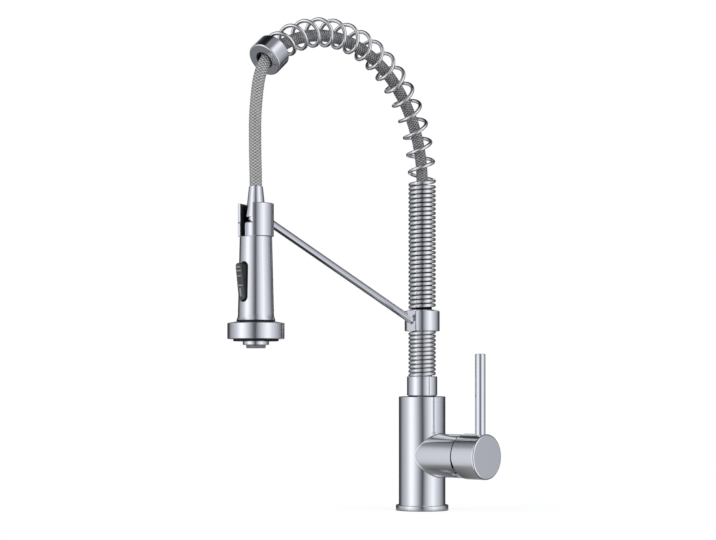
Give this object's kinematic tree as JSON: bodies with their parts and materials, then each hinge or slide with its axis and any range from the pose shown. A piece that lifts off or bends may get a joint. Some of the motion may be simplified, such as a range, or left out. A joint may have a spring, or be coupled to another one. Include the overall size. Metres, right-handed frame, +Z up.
{
  "type": "commercial kitchen faucet",
  "caption": "Single-lever deck-mounted kitchen faucet with a spring-wrapped arched hose, a docking arm and a pull-down spray head with a rocker button.",
  "frame": {"origin": "centre of the base flange's underside, on the deck", "axes": "+Z up, the spout reaches towards -Y at rest, the lever's hub stands out along +X"},
  "size_m": [0.1057, 0.2738, 0.5052],
  "materials": {
    "polished_chrome": "satin-polished chrome plate on brass",
    "spring_wire": "chrome-plated spring wire, smooth",
    "steel": "stainless steel, turned",
    "black_steel": "steel tube with a matt black oxide coat",
    "brass": "machined brass, unplated",
    "rubber": "moulded black silicone or nitrile rubber",
    "black_plastic": "moulded black acetal, satin",
    "grey_plastic": "moulded grey ABS",
    "valve_plastic": "moulded off-white polymer",
    "ceramic": "lapped alumina ceramic",
    "braided_hose": "grey woven braid over a rubber tube"
  },
  "bodies": {
    "base": {"base_flange": "polished_chrome", "deck_gasket": "rubber", "mounting_shank": "brass", "deck_washer": "rubber", "clamp_washer": "steel", "mounting_nut": "brass", "faucet_body": "polished_chrome", "swivel_post": "brass", "post_seals": "rubber", "swivel_washer": "black_plastic", "retaining_clip": "steel", "port_seals": "rubber", "cartridge_base": "valve_plastic", "fixed_disc": "ceramic", "cartridge_housing": "valve_plastic", "cartridge_nut": "steel"},
    "mixer": {"disc_carrier": "valve_plastic", "stem_pin": "steel"},
    "moving_disc": {"moving_disc": "ceramic"},
    "handle": {"valve_stem": "steel", "handle_hub": "polished_chrome", "lever_rod": "polished_chrome", "hub_grub_screw": "steel"},
    "spout": {"swivel_sleeve": "polished_chrome", "hose_tail": "steel", "riser_tube": "black_steel", "riser_bush": "black_plastic", "lower_spring": "spring_wire", "arm_collar": "polished_chrome", "collar_grub_screw": "steel", "upper_spring": "spring_wire", "spring_end_cap": "polished_chrome", "hose_guide": "black_plastic", "riser_hose": "braided_hose", "spray_hose": "braided_hose", "docking_arm": "polished_chrome", "dock_ring": "polished_chrome", "dock_liner": "black_plastic"},
    "hose_end": {"hose_connector": "polished_chrome", "swivel_ring": "polished_chrome", "spigot_seal": "rubber"},
    "spray_head": {"head_neck": "polished_chrome", "head_shell": "polished_chrome", "head_core": "grey_plastic", "check_valve": "grey_plastic", "flange_seal": "rubber", "spray_flange": "polished_chrome", "spray_face": "rubber", "aerator_housing": "polished_chrome", "aerator_insert": "grey_plastic", "button_bezel": "black_plastic", "button_pin": "steel"},
    "button": {"rocker_button": "black_plastic"},
    "diverter": {"diverter_spool": "grey_plastic"}
  },
  "joints": [
    {"name": "spout_swivel", "type": "hinge", "parent": "base", "child": "spout", "pos_m": [0, 0, 0.118], "axis": [0, 0, 1], "range_deg": [-90, 90]},
    {"name": "mixer_turn", "type": "hinge", "parent": "base", "child": "mixer", "pos_m": [0.0358, 0, 0.0524], "axis": [1, 0, 0], "range_deg": [-45, 45]},
    {"name": "lever_tilt", "type": "hinge", "parent": "mixer", "child": "handle", "pos_m": [0.036, 0, 0.0524], "axis": [0, 1, 0], "range_deg": [0, 10]},
    {"name": "disc_slide", "type": "slide", "parent": "mixer", "child": "moving_disc", "axis": [0, 0, 1], "range_m": [0, 0.0017]},
    {"name": "head_pull", "type": "slide", "parent": "spout", "child": "hose_end", "axis": [0, 0, -1], "range_m": [0, 0.05], "stiffness_N_per_m": 60, "springref_m": -0.1},
    {"name": "head_swivel", "type": "hinge", "parent": "hose_end", "child": "spray_head", "pos_m": [0, -0.2225, 0.258], "axis": [0, 0, 1], "continuous": true},
    {"name": "spray_toggle", "type": "hinge", "parent": "spray_head", "child": "button", "pos_m": [0, -0.2355, 0.2089], "axis": [1, 0, 0], "range_deg": [-8, 0]},
    {"name": "diverter_slide", "type": "slide", "parent": "spray_head", "child": "diverter", "axis": [0, -1, 0], "range_m": [0, 0.0015]}
  ],
  "couplings": [
    {"joint": "disc_slide", "follows": "lever_tilt", "m_per_rad": 0.00915},
    {"joint": "diverter_slide", "follows": "spray_toggle", "m_per_rad": -0.008}
  ]
}
